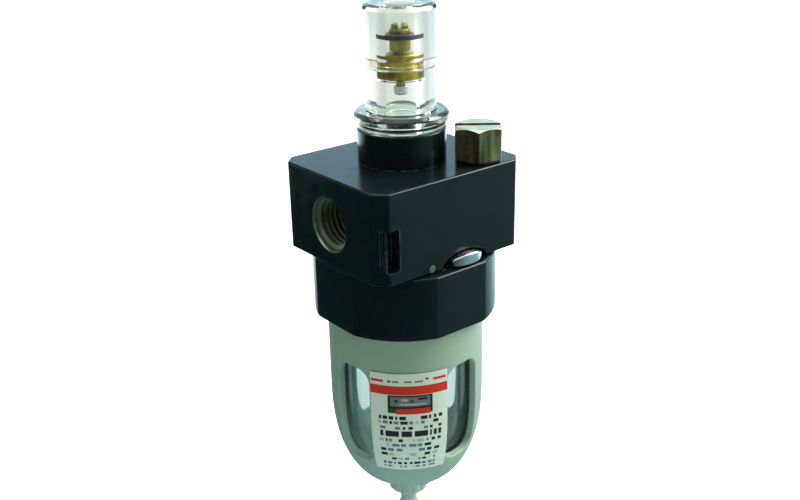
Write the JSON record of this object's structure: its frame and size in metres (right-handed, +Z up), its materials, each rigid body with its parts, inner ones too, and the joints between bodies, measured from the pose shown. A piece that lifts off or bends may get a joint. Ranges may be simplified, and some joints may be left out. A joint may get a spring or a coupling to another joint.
{
  "type": "pneumatic line lubricator",
  "caption": "Miniature compressed-air line lubricator: ported block, clear sight dome with oil needle, fill plug, clear bowl in a windowed metal guard, and a drain.",
  "frame": {"origin": "where the axis of the two pipe ports crosses the vertical axis of the body", "axes": "+Z up through the sight dome, +X along the ports in the direction of the air flow, -Y out of the front face"},
  "size_m": [0.045, 0.044, 0.1395],
  "materials": {
    "black_paint": "semi-gloss black paint on a die casting",
    "grey_paint": "satin grey-green hammered paint",
    "clear_plastic": "clear moulded polycarbonate",
    "brass": "machined, slightly dulled",
    "plated_metal": "nickel plate",
    "steel": "ground",
    "rubber": "moulded",
    "nylon": "natural nylon, slightly translucent",
    "sintered_bronze": "porous sintered bronze",
    "label_film": "printed vinyl film",
    "green_paint": "paint dot"
  },
  "bodies": {
    "body": {"body_casting": "black_paint", "dome_seal_ring": "rubber", "sight_dome": "clear_plastic", "dome_cap": "clear_plastic", "needle_valve_body": "brass", "drip_tip": "steel", "venturi_insert": "brass", "flapper_pin": "steel", "siphon_fitting": "brass", "siphon_tube": "nylon", "siphon_filter": "sintered_bronze", "pressure_check_cartridge": "brass", "pressure_check_spring": "steel", "lock_catch_spring": "steel", "lock_mark": "green_paint"},
    "needle_seal": {"needle_seal_ring": "rubber"},
    "needle": {"needle_screw": "brass"},
    "plug_gasket": {"fill_plug_gasket": "rubber"},
    "fill_plug": {"fill_plug": "brass"},
    "flapper": {"bypass_flapper": "steel"},
    "siphon_ball": {"siphon_check_ball": "steel"},
    "pressure_ball": {"pressure_check_ball": "steel"},
    "lock_catch": {"lock_catch": "plated_metal"},
    "bowl_group": {"bowl": "clear_plastic", "bowl_seal_ring": "rubber", "drain_body": "brass", "drain_gasket": "rubber", "drain_nut": "brass"},
    "guard_group": {"bowl_guard": "grey_paint", "guard_label": "label_film", "clamp_ring": "black_paint"},
    "drain_seal": {"drain_seal_ring": "rubber"},
    "drain_knob": {"drain_knob": "nylon"}
  },
  "joints": [
    {"name": "needle_lift", "type": "slide", "parent": "body", "child": "needle_seal", "axis": [0, 0, 1], "range_m": [0, 0.0015]},
    {"name": "needle_turn", "type": "hinge", "parent": "needle_seal", "child": "needle", "pos_m": [0, 0, 0.042], "axis": [0, 0, 1], "range_deg": [0, 1090]},
    {"name": "plug_lift", "type": "slide", "parent": "body", "child": "plug_gasket", "axis": [0, 0, 1], "range_m": [0, 0.007]},
    {"name": "plug_turn", "type": "hinge", "parent": "plug_gasket", "child": "fill_plug", "pos_m": [0.0126, -0.0135, 0.0166], "axis": [0, 0, 1], "range_deg": [0, 2540]},
    {"name": "flapper_swing", "type": "hinge", "parent": "body", "child": "flapper", "pos_m": [0.0022, 0, 0.0007], "axis": [0, -1, 0], "range_deg": [0, 60], "stiffness_Nm_per_rad": 0.00002, "springref_deg": -5.73},
    {"name": "siphon_ball_lift", "type": "slide", "parent": "body", "child": "siphon_ball", "axis": [0, 0, 1], "range_m": [0, 0.001]},
    {"name": "pressure_ball_drop", "type": "slide", "parent": "body", "child": "pressure_ball", "axis": [0, 0, -1], "range_m": [0, 0.0009], "stiffness_N_per_m": 20, "springref_m": -0.0003, "deforming": ["pressure_check_spring"]},
    {"name": "catch_press", "type": "slide", "parent": "body", "child": "lock_catch", "axis": [0, 1, 0], "range_m": [0, 0.0014], "stiffness_N_per_m": 300, "springref_m": -0.001},
    {"name": "bowl_drop", "type": "slide", "parent": "body", "child": "bowl_group", "axis": [0, 0, -1], "range_m": [0, 0.07]},
    {"name": "guard_turn", "type": "hinge", "parent": "bowl_group", "child": "guard_group", "pos_m": [0, 0, -0.02], "axis": [0, 0, 1], "range_deg": [0, 45]},
    {"name": "drain_drop", "type": "slide", "parent": "bowl_group", "child": "drain_seal", "axis": [0, 0, -1], "range_m": [0, 0.0012]},
    {"name": "drain_turn", "type": "hinge", "parent": "drain_seal", "child": "drain_knob", "pos_m": [0, 0, -0.08], "axis": [0, 0, -1], "range_deg": [0, 364]}
  ],
  "couplings": [
    {"joint": "needle_turn", "follows": "needle_lift", "rad_per_m": 12566},
    {"joint": "plug_turn", "follows": "plug_lift", "rad_per_m": 6283.2},
    {"joint": "drain_turn", "follows": "drain_drop", "rad_per_m": 5236}
  ]
}
